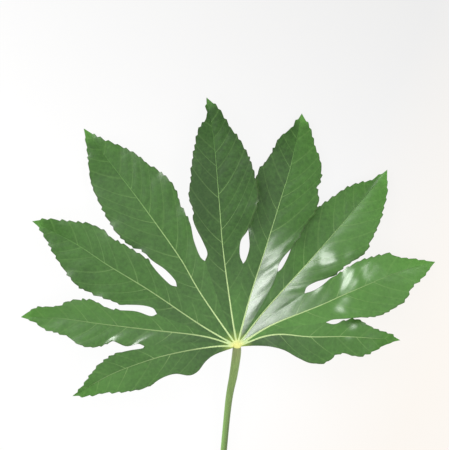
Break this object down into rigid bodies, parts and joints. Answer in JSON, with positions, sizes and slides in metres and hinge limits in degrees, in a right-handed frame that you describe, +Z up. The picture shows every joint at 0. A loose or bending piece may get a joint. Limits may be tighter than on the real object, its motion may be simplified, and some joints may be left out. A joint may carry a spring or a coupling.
{
  "type": "aralia leaf",
  "caption": "Picked aralia leaf with toothed, waved finger-like lobes spread from a pale leafstalk, lying face up.",
  "frame": {"origin": "middle of the foot of the box round the leaf, on the surface it lies on", "axes": "+Y from the cut end of the stalk towards the longest lobes, +Z up out of the leaf's upper face"},
  "size_m": [0.2996, 0.3422, 0.0233],
  "materials": {
    "leaf_green": "glossy, waxy",
    "stalk_green": "satin"
  },
  "bodies": {
    "root": {"blade": "leaf_green", "stalk_and_ribs": "stalk_green"}
  },
  "joints": []
}
